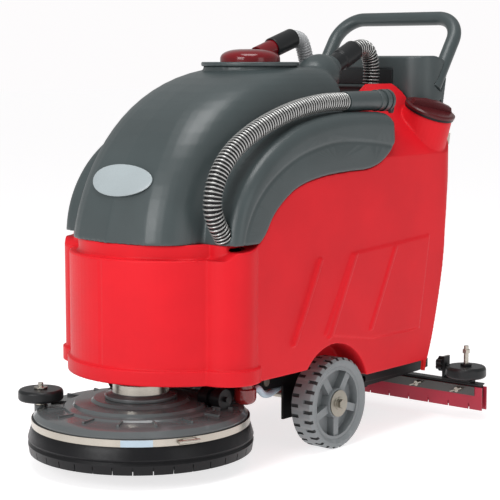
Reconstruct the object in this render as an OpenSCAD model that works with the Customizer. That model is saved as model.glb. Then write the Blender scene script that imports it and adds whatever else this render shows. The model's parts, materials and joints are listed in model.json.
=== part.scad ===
// Walk-behind floor scrubber, shown with its brush deck and squeegee lifted for transport.
// Front is -Y, +X is the operator's left. The origin is on the floor below the middle of the machine.

/* [Body] */
// Half width of the red body at its side walls
body_hw = 262; // [258:1:266]
// Height of the shelf round the nose
shelf_z = 467; // [462:1:472]
// Height of the plateau that carries the recovery tank
plateau_z = 498; // [494:1:502]
// Distance from the axle to the front of the nose
nose_reach = 502; // [496:1:508]
// Radius of the nose in plan
nose_r = 235; // [230:1:240]
// Radius of each corner column
column_r = 65; // [62:1:68]
// Height of the underside in front of the wheels
belly_z = 200; // [196:1:206]
// Height of the underside behind the wheels
tail_z = 156; // [150:1:160]
// Wall thickness of the red tank
tank_wall = 8; // [6:1:10]

/* [Recovery tank] */
// Height of the top of the dome
dome_top = 868; // [862:1:874]
// Half width of the dome at its foot
dome_hw = 180; // [176:1:184]
// Half width over the side lobes
lobe_hw = 266; // [264:1:268]
// Radius of the opening under the lid
lid_hole_r = 95; // [90:1:98]

/* [Wheels] */
// Diameter of a main wheel
wheel_d = 210; // [200:2:216]
// Width of a main wheel
wheel_w = 62; // [56:1:64]
// Diameter of the main axle
axle_d = 20; // [16:1:24]
// Number of tread slots in a row
tread_n = 28; // [20:1:32]
// Diameter of the caster wheel
caster_d = 100; // [90:2:104]

/* [Deck] */
// Outer diameter of the rubber skirt
skirt_d = 498; // [490:2:506]
// Height of the skirt's lower edge above the floor
skirt_z = 34; // [30:1:40]
// Diameter of the scrub pad
pad_d = 430; // [400:5:440]
// Diameter of the brush motor
motor_d = 124; // [110:2:130]
// Diameter of the guide roller
guide_d = 100; // [90:2:106]

/* [Squeegee] */
// Length of the squeegee
squeegee_l = 734; // [700:2:760]
// Height of the blades' lower edge above the floor
blade_z = 27; // [24:1:32]
// Diameter of a squeegee roller
roller_d = 100; // [90:2:104]

/* [Grip and console] */
// Diameter of the grip tube
grip_d = 35; // [30:1:38]
// Height of the middle of the grip bar
grip_z = 990; // [970:2:1010]
// Half width of the console
console_hw = 200; // [192:1:204]
// Height of the top of the console
console_top = 895; // [888:1:900]

/* [Caps and hoses] */
// Diameter of the fill cap
cap_d = 128; // [116:2:130]
// Outer diameter of the drain hose
drain_d = 42; // [38:1:44]
// Outer diameter of the squeegee hose
suction_d = 42; // [38:1:44]
// Number of ribs on the drain hose
drain_ribs = 76; // [40:1:90]

/* [Hidden] */
$fn = 48;

// Clearances
run = 0.05;       // a shaft turning in its bore
gap = 0.4;        // between faces of pieces that move past each other
seam = 1.2;       // the open seam between the two tanks
touch = 0.3;      // between a hose's end and what it meets
eps = 1;          // how far a cut runs past a face

// Places along the machine, measured from the axle
deck_y = -380;
grip_y = 603;
mid_y = (deck_y - skirt_d / 2 + grip_y + grip_d / 2) / 2;
axle_z = wheel_d / 2;
wheel_x = 262 - wheel_w / 2;
column_x = 205;
column_y = -322;
arch_y = -20;
arch_z = 115;
arch_r = 131;
cradle_hw = 232;
lip_h = 33;
lip_out = 7;
rear_top_y = 478;
console_z = 760;
console_front = 423;
squeegee_y = 452;
elbow_from = [0, 41, 903];
elbow_dir = [0, 107, 33] / norm([0, 107, 33]);
elbow_d = 40;
cuff_from = 32;
cuff_step = 82;
cuff_to = 112;

// Curve helpers
function unit(v) = v / norm(v);
function bezier(p, t) = pow(1 - t, 3) * p[0] + 3 * t * pow(1 - t, 2) * p[1] + 3 * t * t * (1 - t) * p[2] + t * t * t * p[3];
function spline_at(a, b, c, d, t) =
  0.5 * (2 * b + (c - a) * t + (2 * a - 5 * b + 4 * c - d) * t * t + (3 * b - a - 3 * c + d) * t * t * t);
function spline(p, steps) = [
  for (i = [0 : len(p) - 2], k = [0 : steps - 1])
    spline_at(p[max(i - 1, 0)], p[i], p[i + 1], p[min(i + 2, len(p) - 1)], k / steps),
  p[len(p) - 1]
];
function running_length(p) = [
  for (i = 0, s = 0; i < len(p); s = s + (i + 1 < len(p) ? norm(p[i + 1] - p[i]) : 0), i = i + 1) s
];
function resample(p, n) =
  let (s = running_length(p), last = len(p) - 1)
  let (table = [for (axis = [0 : 2]) [for (i = [0 : last]) [s[i], p[i][axis]]]])
  [for (k = [0 : n]) [for (axis = [0 : 2]) lookup(s[last] * k / n, table[axis])]];
function tangents(p) = [for (i = [0 : len(p) - 1]) unit(p[min(i + 1, len(p) - 1)] - p[max(i - 1, 0)])];
function first_normal(t) = unit(cross(t, abs(t[0]) < 0.9 ? [1, 0, 0] : [0, 1, 0]));
function normals(t) = [
  for (i = 0, n = first_normal(t[0]); i < len(t); i = i + 1, n = i < len(t) ? unit(n - (n * t[i]) * t[i]) : n) n
];
function ring(c, t, n, r, sides) = [
  for (k = [0 : sides - 1]) c + r * (cos(360 * k / sides) * n + sin(360 * k / sides) * cross(t, n))
];
function inset_loop(p, d) = [
  for (i = [0 : len(p) - 1])
    let (v = unit(p[(i + 1) % len(p)] - p[(i + len(p) - 1) % len(p)])) p[i] + d * [-v[1], v[0]]
];

// A closed solid through rings of equal count, each counter-clockwise about the way they advance
module loft(rings) {
  n = len(rings[0]);
  m = len(rings);
  walls = [
    for (i = [0 : m - 2], k = [0 : n - 1])
      let (a = i * n + k, b = i * n + (k + 1) % n)
        each [[a, a + n, b + n], [a, b + n, b]]
  ];
  caps = [[for (k = [0 : n - 1]) k], [for (k = [n - 1 : -1 : 0]) (m - 1) * n + k]];
  polyhedron([for (r = rings) each r], concat(walls, caps), convexity = 8);
}

// A hose along a route, ribbed where ribs is above 0, with its bore right through
module hose(route, d, bore_d, ribs, rib_h = 1.5, sides = 8) {
  path = resample(route, max(ribs, 8) * 2);
  m = len(path);
  t = tangents(path);
  nn = normals(t);
  outer = [for (i = [0 : m - 1]) ring(path[i], t[i], nn[i], d / 2 - (ribs > 0 && i % 2 == 0 ? rib_h : 0), sides)];
  bore_step = max(2, floor(m / 24));
  picks = [for (i = [0 : bore_step : m - 1 - bore_step]) i, m - 1];
  inner = [for (i = picks) ring(path[i], t[i], nn[i], bore_d / 2, sides)];
  q = len(inner);
  base = m * sides;
  outside = [
    for (i = [0 : m - 2], k = [0 : sides - 1])
      let (a = i * sides + k, b = i * sides + (k + 1) % sides)
        each [[a, a + sides, b + sides], [a, b + sides, b]]
  ];
  inside = [
    for (i = [0 : q - 2], k = [0 : sides - 1])
      let (a = base + i * sides + k, b = base + i * sides + (k + 1) % sides)
        each [[a, b + sides, a + sides], [a, b, b + sides]]
  ];
  ends = [
    for (k = [0 : sides - 1])
      let (j = (k + 1) % sides, o = (m - 1) * sides, e = base + (q - 1) * sides)
        each [[k, j, base + j], [k, base + j, base + k], [o + j, o + k, e + k], [o + j, e + k, e + j]]
  ];
  polyhedron(concat([for (r = outer) each r], [for (r = inner) each r]), concat(outside, inside, ends), convexity = 10);
}

// Everything is laid out from the axle and then centred on the floor
module machine() { translate([0, -mid_y, 0]) children(); }

// A bar with its long axis along X
module rod_x(x0, x1, y, z, d) { translate([x0, y, z]) rotate([0, 90, 0]) cylinder(d = d, h = x1 - x0); }

// A drawing in the Y-Z plane, pushed along X from x0 to x1
module side_slab(x0, x1) { translate([x0, 0, 0]) rotate([90, 0, 90]) linear_extrude(x1 - x0) children(); }

// A box from one corner to the other
module block(a, b) { translate(a) cube(b - a); }

// Both sides of the machine
module both_sides() {
  children();
  mirror([1, 0, 0]) children();
}

// Red solution tank

nose_cy = nose_r - nose_reach;
module nose_plan(grow) {
  translate([0, nose_cy]) circle(r = nose_r + grow, $fn = 96);
  for (s = [-1, 1]) translate([s * column_x, column_y]) circle(r = column_r + grow, $fn = 64);
}
rear_corner_r = 60;
module body_plan() {
  nose_plan(0);
  polygon([[-body_hw, column_y], [body_hw, column_y], [body_hw, rear_top_y - rear_corner_r],
           [-body_hw, rear_top_y - rear_corner_r]]);
  for (s = [-1, 1])
    translate([s * (body_hw - rear_corner_r), rear_top_y - rear_corner_r]) circle(r = rear_corner_r);
  polygon([[-body_hw + rear_corner_r, 0], [body_hw - rear_corner_r, 0],
           [body_hw - rear_corner_r, rear_top_y], [-body_hw + rear_corner_r, rear_top_y]]);
}

// The line on the side where the grey lobe meets the red wall, from the front to the back
split_line = spline([[-404, 486], [-337, 484], [-297, 492], [-267, 515], [-241, 552], [-200, 586], [-147, 612],
                     [-65, 628], [31, 634], [102, 636], [156, 651], [198, 681], [221, 712], [218, 738]], 4);
split_foot = [for (p = split_line) if (p[0] > -372) p];
rear_line = spline([[356, tail_z], [383, 232], [419, 383], [441, 560], [470, 650], [rear_top_y, 726], [474, console_z]], 4);
tower_line = spline([[228, 775], [262, 812], [320, 838], [388, 832], [412, 806]], 4);
body_side = concat([[-nose_reach - 20, belly_z], [arch_y, belly_z], [arch_y, tail_z]], rear_line,
                   [[console_front - 2, console_z]],
                   [for (i = [len(tower_line) - 1 : -1 : 0]) tower_line[i]],
                   [for (i = [len(split_foot) - 1 : -1 : 0]) split_foot[i]],
                   [[-372, shelf_z], [-nose_reach - 20, shelf_z]]);
shoulder_x = 100;
shoulder_low = 660;
tower_top = 845;

// The body's upright section, which slopes down to the sides behind the dome
module body_section() {
  slope = spline([[shoulder_x, tower_top - 2], [140, 806], [178, 756], [222, 716], [body_hw, shoulder_low]], 4);
  polygon(concat([[-body_hw - column_r, 0], [body_hw + column_r, 0], [body_hw + column_r, shoulder_low]],
                 [for (i = [len(slope) - 1 : -1 : 0]) slope[i]],
                 [for (p = slope) [-p[0], p[1]]], [[-body_hw - column_r, shoulder_low]]));
}

fill_at = [230, 400, 763];
fill_tilt = 24;
neck_h = 100;
fill_bore_d = 84;
gasket_h = 6;
module on_fill_axis() { translate(fill_at) rotate([0, fill_tilt, 0]) children(); }

bay_hw = 180;
bay_front = -128;
bay_back = 212;
bay_floor = 208;
cradle_back = 227;
recess_hw = 116;
recess_y = 290;
shelf_at = 448;
shelf_edge = 30;

module body_shell() {
  intersection() {
    translate([0, 0, tail_z - 10]) linear_extrude(tower_top) body_plan();
    side_slab(-body_hw - column_r, body_hw + column_r) polygon(body_side);
    translate([0, 600, 0]) rotate([90, 0, 0]) linear_extrude(1200) body_section();
  }
  translate([0, 0, belly_z]) linear_extrude(plateau_z - belly_z) nose_rim();
  translate([0, 0, belly_z]) linear_extrude(lip_h) lip_plan();
}
rim_in = 20;
module nose_rim() {
  intersection() {
    nose_plan(-rim_in);
    translate([-cradle_hw, -600]) square([2 * cradle_hw, 300]);
  }
}
module lip_plan() {
  intersection() {
    nose_plan(lip_out);
    translate([-400, -600]) square([800, 600 + column_y + column_r * 0.6]);
  }
}

// Raised panels and slanting ribs on each side
panel_out = 4;
module side_relief() {
  lower = [[-180, 300], [-155, 246], [-100, 246]];
  side_slab(body_hw - 2, body_hw + panel_out)
    polygon([[42, 446], [206, 454], [356, 462], [350, 430], [316, 240], [124, 240], [-58, 272]]);
  for (foot = [-176, -48, 108])
    side_slab(body_hw - 2, body_hw + panel_out + 3)
      polygon([[foot, 262], [foot + 12, 262], [foot + 108, 446], [foot + 96, 446]]);
}

module solution_tank() machine() color([0.80, 0.11, 0.13]) difference() {
  union() {
    body_shell();
    both_sides() side_relief();
    on_fill_axis() translate([0, 0, -neck_h - gasket_h]) cylinder(r1 = cap_d / 2 + 8, r2 = cap_d / 2 - 4, h = neck_h);
  }
  // Cradle for the recovery tank
  block([-cradle_hw, -600, plateau_z], [cradle_hw, cradle_back, 900]);
  // Battery bay, open at the top
  block([-bay_hw, bay_front, bay_floor], [bay_hw, bay_back - tank_wall, plateau_z + eps]);
  // Rear recess for the hoses and the vacuum motor, with its shelf left standing
  block([-recess_hw, cradle_back - eps, plateau_z], [recess_hw, 600, 900]);
  difference() {
    block([-recess_hw, recess_y, 0], [recess_hw, 600, plateau_z + eps]);
    block([-recess_hw - eps, recess_y - eps, shelf_at - 12], [shelf_edge, 430, shelf_at]);
  }
  // Wheel arches and the space for the chassis
  both_sides() translate([bay_hw + tank_wall + 4, arch_y, arch_z]) rotate([0, 90, 0]) cylinder(r = arch_r, h = 200, $fn = 96);
  block([-bay_hw + 4, -190, 0], [bay_hw - 4, 600, belly_z]);
  // The space for clean water: nose, side ducts, the block behind the batteries and the two rear towers
  difference() {
    union() {
      translate([0, 0, belly_z + tank_wall]) linear_extrude(shelf_z - belly_z - 2 * tank_wall) nose_plan(-tank_wall - 6);
      translate([0, 0, belly_z + tank_wall]) linear_extrude(plateau_z - belly_z - 2 * tank_wall) nose_plan(-rim_in - tank_wall);
    }
    block([-400, bay_front - tank_wall, 0], [400, 0, 900]);
  }
  block([-bay_hw - tank_wall, bay_back + tank_wall, bay_floor], [bay_hw + tank_wall, recess_y - tank_wall, plateau_z - tank_wall]);
  both_sides() {
    block([bay_hw + tank_wall, -300, 262], [body_hw - 2 * tank_wall, recess_y, 470]);
    block([bay_hw + tank_wall, 124, tail_z + tank_wall], [body_hw - 2 * tank_wall, 330, 270]);
    block([recess_hw + tank_wall, 240, bay_floor], [body_hw - 4 * tank_wall, 360, 340]);
    block([recess_hw + tank_wall, cradle_back + tank_wall, 330], [body_hw - 4 * tank_wall, 390, 690]);
  }
  // Seats of the console, the drain valve and the sight tube's two ends
  block([-console_hw - 5, console_front - 2, console_z], [console_hw + 5, 700, 900]);
  block([valve_at[0] - 20, valve_seat_y, 0], [valve_at[0] + 20, 500, valve_at[2] + 18]);
  for (p = [sight_low, sight_high]) translate(p) rotate([90, 0, 0]) cylinder(d = sight_stub_d + 0.2, h = sight_reach + 1);
  on_fill_axis() translate([0, 0, -neck_h - 30]) cylinder(d = fill_bore_d, h = neck_h + 60);
}

// Dark grey recovery tank

dome_profile = [[-485, plateau_z], [-452, 690], [-300, dome_top], [0, dome_top]];
dome_mid_y = 80;
dome_back = 180;
dome_points = 64;
function soft_power(v, e) = sign(v) * pow(abs(v), e);
function dome_ring(t, inset) =
  let (p = bezier(dome_profile, t), e = 2 / (8 - 5 * t))
  let (hw = dome_hw - 75 * pow(t, 3) - inset, front = dome_mid_y - p[0] - inset)
  let (back = dome_back - 45 * pow(t, 3) - dome_mid_y - inset, bow = 50 - 38 * t * t)
  [
    for (k = [0 : dome_points - 1])
      let (a = 360 * k / dome_points, c = soft_power(cos(a), e), s = soft_power(sin(a), e))
        [hw * c, dome_mid_y + (s < 0 ? front * s + bow * c * c * -s : back * s), p[1] - (inset > 0 ? 8 : 0)]
  ];
dome_layers = 18;

lobe_back = 205;
// The ledge that runs up over the front of each lobe and back along it
ledge_line = spline([[-366, 470], [-362, 520], [-350, 566], [-327, 611], [-292, 654], [-247, 690], [-196, 718],
                     [-134, 742], [-57, 758], [21, 766], [115, 767], [190, 762], [218, 742]], 3);
lobe_loop = concat([[-366, 470], [-100, 470], [lobe_back, 470], [lobe_back + 8, 600], [lobe_back + 18, 700]],
                   [for (i = [len(ledge_line) - 1 : -1 : 1]) ledge_line[i]]);
lobe_round = 28;
lobe_steps = 5;
function lobe_slice(x, inset) = [for (p = inset_loop(lobe_loop, inset)) [x, p[0], p[1]]];
function lobe_edge(i) = lobe_slice(lobe_hw - lobe_round * (1 - sin(90 * i / lobe_steps)), lobe_round * (1 - cos(90 * i / lobe_steps)));
function mirrored(slice) = [for (p = slice) [-p[0], p[1], p[2]]];

lid_y = -7;
lid_seat_z = 870;
inlet_dir = unit([0, 86, 38]);
inlet_at = [75, 165, 850];
inlet_l = 50;
swell = [[118, 826, 48], [140, 842, 50], [160, 849, 50]];
module recovery_tank() machine() color([0.30, 0.34, 0.35]) difference() {
  union() {
    for (k = [0 : dome_layers - 1]) hull() {
      dome_slice(k);
      dome_slice(k + 1);
    }
    loft(concat([for (i = [lobe_steps : -1 : 0]) mirrored(lobe_edge(i))], [for (i = [0 : lobe_steps]) lobe_edge(i)]));
    translate([0, lid_y, 800]) cylinder(r = lid_hole_r + 14, h = lid_seat_z - 800, $fn = 64);
    // Swell over the inlet at the back of the dome
    for (k = [0 : len(swell) - 2]) hull() {
      swell_ball(swell[k]);
      swell_ball(swell[k + 1]);
    }
    along(inlet_at, inlet_dir) cylinder(d = suction_d + 14, h = inlet_l, $fn = 32);
  }
  // Room for the red side walls under the lobes and for the plateau
  both_sides() side_slab(cradle_hw - seam, 400)
    polygon(concat([[-420, 400], [300, 400], [300, 760]], [for (i = [len(split_line) - 1 : -1 : 0]) split_line[i] + [0, seam]]));
  block([-400, -600, 400], [400, 400, plateau_z]);
  // Socket of the drain hose
  along(drain_start - 0.3 * drain_dir, drain_dir) cylinder(d = drain_d + 0.8, h = 70, $fn = 32);
  // The space for dirty water and its mouth
  loft([for (k = [0 : 9]) [for (p = dome_ring(k / 9, 14)) [p[0], p[1], p[2] + (k == 0 ? 24 : -4)]]]);
  side_slab(-cradle_hw + 10, cradle_hw - 10) intersection() {
    offset(delta = -12) polygon(lobe_loop);
    translate([-325, plateau_z + 12]) square([700, 400]);
  }
  translate([0, lid_y, 780]) cylinder(r = lid_hole_r, h = 120, $fn = 64);
}
slice_t = 0.3;
module dome_slice(k) {
  layer = dome_ring(k / dome_layers, 0);
  translate([0, 0, layer[0][2] - (k == dome_layers ? slice_t : 0)]) linear_extrude(slice_t) polygon([for (p = layer) [p[0], p[1]]]);
}
module swell_ball(b) { translate([inlet_at[0], b[0], b[1]]) sphere(r = b[2], $fn = 32); }

// A point on the front of the dome, off it by a small distance
function dome_front(x, t, off) =
  let (p = bezier(dome_profile, t), n = 8 - 5 * t, c = abs(x) / (dome_hw - 75 * pow(t, 3)))
  let (s = pow(1 - pow(c, n), 1 / n), bow = 50 - 38 * t * t)
  [x, dome_mid_y - s * (dome_mid_y - p[0] - bow * c * c) - off * 0.9, p[1] + off * 0.44];
badge_hw = 88;
badge_t = 0.235;
badge_dt = 0.063;
badge_points = 32;
function badge_ring(f, off) = [
  for (k = [0 : badge_points - 1])
    dome_front(badge_hw * f * cos(360 * k / badge_points), badge_t + badge_dt * f * sin(360 * k / badge_points), off)
];
module badge_plate() machine() color([0.80, 0.83, 0.85]) loft([
  badge_ring(0.02, 0.8), badge_ring(0.35, 0.8), badge_ring(0.7, 0.8), badge_ring(1, 0.8), badge_ring(1, 3),
  badge_ring(0.93, 4.5), badge_ring(0.65, 4.5), badge_ring(0.3, 4.5), badge_ring(0.02, 4.5)
]);

// Power, vacuum and hoses

battery_gap = 4;
module batteries() machine() color([0.12, 0.12, 0.13]) both_sides() {
  block([battery_gap / 2, bay_front + 4, bay_floor], [bay_hw - battery_gap, bay_back - tank_wall - 4, 420]);
  for (y = [-90, 166]) translate([60, y, 420]) cylinder(d = 18, h = 16);
}

motor_at = [-48, 362];
motor_h = 214;
module vacuum_motor() machine() color([0.15, 0.15, 0.16]) translate([motor_at[0], motor_at[1], shelf_at]) rotate_extrude()
  polygon([[0, 0], [62, 0], [62, 70], [50, 78], [50, 130], [62, 136], [62, 170], [24, 182], [24, motor_h], [0, motor_h]]);

vacuum_hose_d = 38;
vacuum_from = elbow_from + (cuff_step + touch) * elbow_dir;
vacuum_end = [motor_at[0], motor_at[1], shelf_at + motor_h + touch];
vacuum_route = spline([vacuum_from, vacuum_from + 16 * elbow_dir, vacuum_from + 34 * elbow_dir, [0, 182, 930], [0, 200, 896], [-2, 212, 858],
                       [-12, 238, 810], [-28, 286, 766], [-42, 340, 740], vacuum_end + [0, 0, 38], vacuum_end + [0, 0, 19], vacuum_end], 6);
module vacuum_hose() machine() color([0.62, 0.62, 0.60]) hose(vacuum_route, vacuum_hose_d, 28, 44, 1.2);

module along(from, dir) { translate(from) rotate([0, acos(dir[2] / norm(dir)), atan2(dir[1], dir[0])]) children(); }
elbow_l = 92;
socket_l = 42;
inlet_start = inlet_at + (inlet_l + touch) * inlet_dir;
module inlet_elbow() machine() color([0.06, 0.06, 0.06]) along(inlet_start, inlet_dir) difference() {
  union() {
    cylinder(d = 46, h = elbow_l);
    translate([0, 0, 34]) cylinder(d = 52, h = elbow_l - 34);
    translate([0, 0, 30]) cylinder(d1 = 46, d2 = 52, h = 4.01);
  }
  translate([0, 0, -eps]) cylinder(d = 34, h = 100);
  translate([0, 0, elbow_l - socket_l]) cylinder(d = suction_d + 1.2, h = 100);
}
suction_from = inlet_start + (elbow_l - socket_l + touch) * inlet_dir;
port_top = 128;
suction_route = spline([suction_from, suction_from + 21 * inlet_dir, suction_from + 44 * inlet_dir, [75, 330, 914], [75, 354, 904],
                        [75, 368, 874], [74, 370, 830], [72, 366, 760], [72, 364, 600], [72, 366, 420], [66, 386, 300],
                        [34, 430, 220], [0, squeegee_y, port_top + 42], [0, squeegee_y, port_top + 21],
                        [0, squeegee_y, port_top + touch]], 5);
module squeegee_hose() machine() color([0.07, 0.07, 0.07]) hose(suction_route, suction_d, 32, 100, 2);

drain_x = 224;
drain_z = 790.6;
drain_start = [drain_x, -356, 511];
drain_dir = unit([0, -24, 34]);
drain_route = spline([drain_start, drain_start + 20 * drain_dir, drain_start + 42 * drain_dir, [drain_x, -392, 576], [drain_x, -389, 612],
                      [drain_x, -370, 652], [drain_x, -332, 692], [drain_x, -272, 727], [drain_x, -195, 756],
                      [drain_x, -113, 777], [drain_x, -34, 788], [drain_x, 16, drain_z], [drain_x, 60 - touch, drain_z]], 6);
module drain_hose() machine() color([0.30, 0.30, 0.30]) hose(drain_route, drain_d, 34, drain_ribs, 2);

cuff_d = 46;
cuff_end = 200;
plug_d = 52;
module drain_cuff() machine() color([0.28, 0.32, 0.33]) translate([drain_x, 60, drain_z]) rotate([-90, 0, 0]) difference() {
  union() {
    cylinder(d = cuff_d, h = cuff_end - 60);
    translate([0, 0, cuff_end - 82]) cylinder(d = plug_d - 2, h = 10);
  }
  translate([0, 0, -eps]) cylinder(d = 34, h = 200);
}
plug_bore = 33.9;
module drain_plug() machine() color([0.28, 0.32, 0.33]) {
  translate([drain_x, cuff_end + gap, drain_z]) rotate([-90, 0, 0]) {
    cylinder(d = plug_d, h = 14);
    translate([0, 0, 13]) cylinder(d = plug_d - 6, h = 8);
    translate([0, 0, 20]) cylinder(d = plug_d, h = 8);
    translate([0, 0, -20]) cylinder(d = plug_bore - 0.4, h = 21);
  }
  translate([drain_x + 8, cuff_end + 33, drain_z - 14]) rotate([0, 90, 20]) difference() {
    cylinder(d = 34, h = 8, center = true);
    cylinder(d = 28, h = 10, center = true);
  }
}

// Recovery lid with its float

ring_r = 114;
module lid_ring() machine() color([0.28, 0.32, 0.33]) translate([0, lid_y, lid_seat_z]) difference() {
  union() {
    cylinder(r = ring_r, h = 10, $fn = 64);
    translate([0, 0, -16]) cylinder(r = lid_hole_r - 1, h = 17, $fn = 64);
  }
  translate([0, 0, -20]) cylinder(r = 60, h = 40, $fn = 64);
}
dome_lid_r = 70;
module lid_dome() machine() color([0.35, 0.03, 0.05]) difference() {
  translate([0, lid_y, lid_seat_z + 10]) rotate_extrude($fn = 64)
    polygon(concat([[0, 0], [dome_lid_r, 0]], [for (a = [0 : 10 : 90]) [dome_lid_r * pow(cos(a), 0.6), 8 + 22 * sin(a)]]));
  translate([0, lid_y, lid_seat_z + 10 - eps]) rotate_extrude($fn = 64)
    polygon(concat([[0, 0], [dome_lid_r - 6, 0]], [for (a = [0 : 10 : 90]) [(dome_lid_r - 6) * pow(cos(a), 0.6), 5 + 20 * sin(a)]]));
  along(elbow_from - 30 * elbow_dir, elbow_dir) cylinder(d = elbow_d + 0.2, h = 110);
}
module lid_elbow() machine() color([0.35, 0.03, 0.05]) intersection() {
  along(elbow_from - 24 * elbow_dir, elbow_dir) difference() {
    cylinder(d = elbow_d, h = 24 + cuff_step - 0.2);
    translate([0, 0, -eps]) cylinder(d = elbow_d - 8, h = 200);
  }
  block([-100, -100, lid_seat_z + 10.5], [100, 300, 1100]);
}
module lid_cuff() machine() color([0.06, 0.06, 0.06]) along(elbow_from, elbow_dir) difference() {
  translate([0, 0, cuff_from]) cylinder(d = 48, h = cuff_to - cuff_from);
  translate([0, 0, cuff_from - eps]) cylinder(d = elbow_d + 0.2, h = 200);
}

// Fill cap

module fill_gasket() machine() color([0.05, 0.05, 0.05]) on_fill_axis() translate([0, 0, -gasket_h + 0.1]) difference() {
  cylinder(d = cap_d - 2, h = gasket_h - 0.2);
  translate([0, 0, -eps]) cylinder(d = fill_bore_d, h = 20);
}
module fill_cap() machine() color([0.25, 0.04, 0.05]) on_fill_axis() {
  cylinder(d = cap_d, h = 5);
  translate([0, 0, 4]) cylinder(d1 = cap_d - 2, d2 = cap_d - 12, h = 4);
  translate([0, 0, -24]) difference() {
    cylinder(d = fill_bore_d - 1, h = 25);
    translate([0, 0, -eps]) cylinder(d = fill_bore_d - 9, h = 24);
  }
  rotate([0, 0, 60]) translate([0, 0, 7]) intersection() {
    cylinder(d = cap_d - 16, h = 22);
    rotate([90, 0, 0]) linear_extrude(16, center = true) polygon([[-56, 0], [-50, 12], [-20, 18], [20, 18], [50, 12], [56, 0]]);
  }
}

// Console and grip

console_back = 525;
console_corner = 65;
console_lean = 22;
module console_plan() {
  x = console_hw - console_corner;
  for (s = [-1, 1]) translate([s * x, console_front + console_corner]) circle(r = console_corner, $fn = 64);
  polygon([[-x, console_front], [x, console_front], [x, console_front + 10], [-x, console_front + 10]]);
  polygon([[-x, console_front], [x, console_front], [x, console_back], [-x, console_back]]);
  polygon([[-console_hw, console_front + console_corner], [console_hw, console_front + console_corner],
           [console_hw, console_back], [-console_hw, console_back]]);
}
leg_x = console_hw - 13;
leg_foot_y = 496;
leg_foot_z = 836;
grip_lean = atan2(grip_y - leg_foot_y, grip_z - leg_foot_z);
leg_l = norm([grip_y - leg_foot_y, grip_z - leg_foot_z]);
grip_bend = 70;
leg_sunk = 26;
module on_grip() { translate([0, leg_foot_y, leg_foot_z]) rotate([-grip_lean, 0, 0]) children(); }
panel_t = 3;
side_hole_z = console_z + 22;
side_hole_d = 8;
side_hole_l = 30;
module console_housing() machine() color([0.28, 0.32, 0.33]) difference() {
  intersection() {
    translate([0, 0, console_z]) linear_extrude(console_top - console_z) console_plan();
    side_slab(-400, 400) polygon([[400, console_z], [console_back - console_lean, console_z], [console_back, console_top - 26],
                                  [console_back - 22, console_top - 8], [470, console_top], [400, console_top - 4]]);
  }
  // Inside, open to the back for the control panel
  block([-console_hw + 40, console_front + 14, console_z + 12], [console_hw - 40, 600, console_top - 22]);
  // Hollow under the front edge
  hollow_front();
  // Seat of the front plate
  block([-116, console_front - eps, console_z + 62], [104, console_front + 3, console_z + 104]);
  both_sides() on_grip() translate([leg_x, 0, -leg_sunk]) cylinder(d = grip_d + 0.3, h = 200);
  both_sides() for (y = [476, 494]) rod_x(console_hw - side_hole_l, console_hw + eps, y, side_hole_z, side_hole_d);
}
module hollow_front() {
  translate([0, console_front + 8, 0]) rotate([90, 0, 0]) linear_extrude(60) difference() {
    translate([-150, console_z - 10]) square([300, 64]);
    for (s = [-1, 1]) translate([s * 150, console_z + 54]) rotate(45) square(46, center = true);
  }
}
module console_plate() machine() color([0.04, 0.04, 0.04])
  block([-112, console_front - 0.5, console_z + 64.5], [100, console_front + 2.7, console_z + 101.5]);
switch_z = console_z + 66;
switch_y = console_back - 12;
switch_w = 22;
module control_panel() machine() color([0.10, 0.10, 0.11]) difference() {
  block([-console_hw + 40.3, switch_y - panel_t, console_z + 12.3], [console_hw - 40.3, switch_y, console_top - 22.3]);
  for (x = [-60, 0]) block([x - switch_w / 2, switch_y - 20, switch_z - 16], [x + switch_w / 2, switch_y + 20, switch_z + 16]);
  translate([70, switch_y + eps, switch_z]) rotate([90, 0, 0]) cylinder(d = 16.1, h = 30);
}
module rocker(x) translate([x, switch_y, switch_z]) rotate([90, 0, 90]) linear_extrude(switch_w - 1, center = true)
  polygon([[-10, -13], [2, -14.5], [5, -13], [2.5, 0], [5, 13], [2, 14.5], [-10, 13]]);
module brush_switch() machine() color([0.75, 0.05, 0.05]) rocker(-60);
module vacuum_switch() machine() color([0.05, 0.05, 0.05]) rocker(0);
module breaker_button() machine() color([0.75, 0.60, 0.05])
  translate([70, switch_y + 6, switch_z]) rotate([90, 0, 0]) cylinder(d = 16, h = 18);
module grip_loop() machine() color([0.28, 0.32, 0.33]) on_grip() {
  leg_top = leg_l - grip_bend;
  bar_x = leg_x - grip_bend;
  both_sides() {
    translate([leg_x, 0, -leg_sunk + 0.2]) cylinder(d = grip_d, h = leg_top + leg_sunk - 0.2);
    translate([bar_x, 0, leg_top]) rotate([90, 0, 0]) rotate_extrude(angle = 90) translate([grip_bend, 0]) circle(d = grip_d);
  }
  rod_x(-bar_x, bar_x, 0, leg_l, grip_d);
}

// Main wheels

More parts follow.
